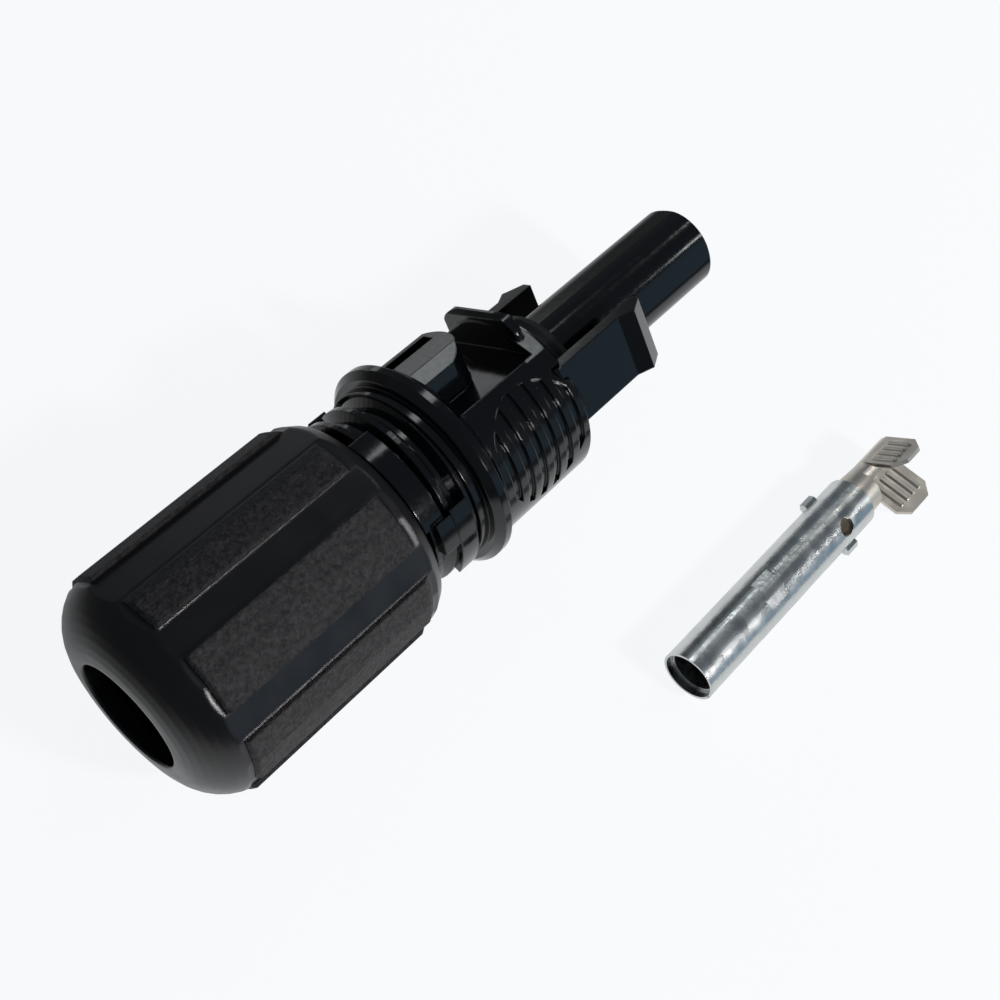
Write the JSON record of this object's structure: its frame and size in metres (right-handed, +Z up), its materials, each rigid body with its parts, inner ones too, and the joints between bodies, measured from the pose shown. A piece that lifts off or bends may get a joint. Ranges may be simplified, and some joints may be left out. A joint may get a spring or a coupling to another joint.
{
  "type": "solar cable connector",
  "caption": "Socket half of a locking solar cable coupler: square probe, two latch arms, ribbed grip body, threaded neck, gland nut set back, and a loose crimp socket contact beside it.",
  "frame": {"origin": "On the connector's axis, in the plane of the mating face that the probe stands on", "axes": "+X along the axis towards the probe's tip, +Z up from the surface that the nut lies on, +Y away from the side where the loose contact lies; the connector is rolled 47 degrees about X so that one of the nut's grooves faces straight down"},
  "size_m": [0.0709, 0.0422, 0.0198],
  "materials": {
    "housing": "glossy black",
    "front_seal": "satin black",
    "latch_arm_upper": "glossy black",
    "latch_arm_lower": "glossy black",
    "cable_seal": "satin black",
    "clamp_claw": "matte black",
    "gland_nut": "fine grained charcoal black",
    "contact_sleeve": "bright tin plate",
    "contact_body": "bright tin plate",
    "contact_spring": "tin plate"
  },
  "bodies": {
    "housing": {"housing": "housing", "front_seal": "front_seal", "cable_seal": "cable_seal"},
    "latch_upper": {"latch_arm_upper": "latch_arm_upper"},
    "latch_lower": {"latch_arm_lower": "latch_arm_lower"},
    "clamp": {"clamp_claw": "clamp_claw"},
    "nut": {"gland_nut": "gland_nut"},
    "contact": {"contact_sleeve": "contact_sleeve", "contact_body": "contact_body", "contact_spring": "contact_spring"}
  },
  "joints": [
    {"name": "latch_upper_flex", "type": "hinge", "parent": "housing", "child": "latch_upper", "pos_m": [-0.001, -0.00455, 0.00488], "axis": [0, 0.7314, 0.682], "range_deg": [0, 7], "stiffness_Nm_per_rad": 1},
    {"name": "latch_lower_flex", "type": "hinge", "parent": "housing", "child": "latch_lower", "pos_m": [-0.001, 0.00455, -0.00488], "axis": [0, -0.7314, -0.682], "range_deg": [0, 7], "stiffness_Nm_per_rad": 1},
    {"name": "clamp_slide", "type": "slide", "parent": "housing", "child": "clamp", "axis": [1, 0, 0], "range_m": [0, 0.006]},
    {"name": "nut_turn", "type": "hinge", "parent": "clamp", "child": "nut", "pos_m": [-0.03, 0, 0], "axis": [1, 0, 0], "range_deg": [0, 1080]},
    {"name": "contact_lift", "type": "slide", "parent": "housing", "child": "contact", "axis": [0, 0, 1], "range_m": [0, 0.04]}
  ],
  "couplings": [
    {"joint": "clamp_slide", "follows": "nut_turn", "m_per_rad": 0.00031831}
  ]
}
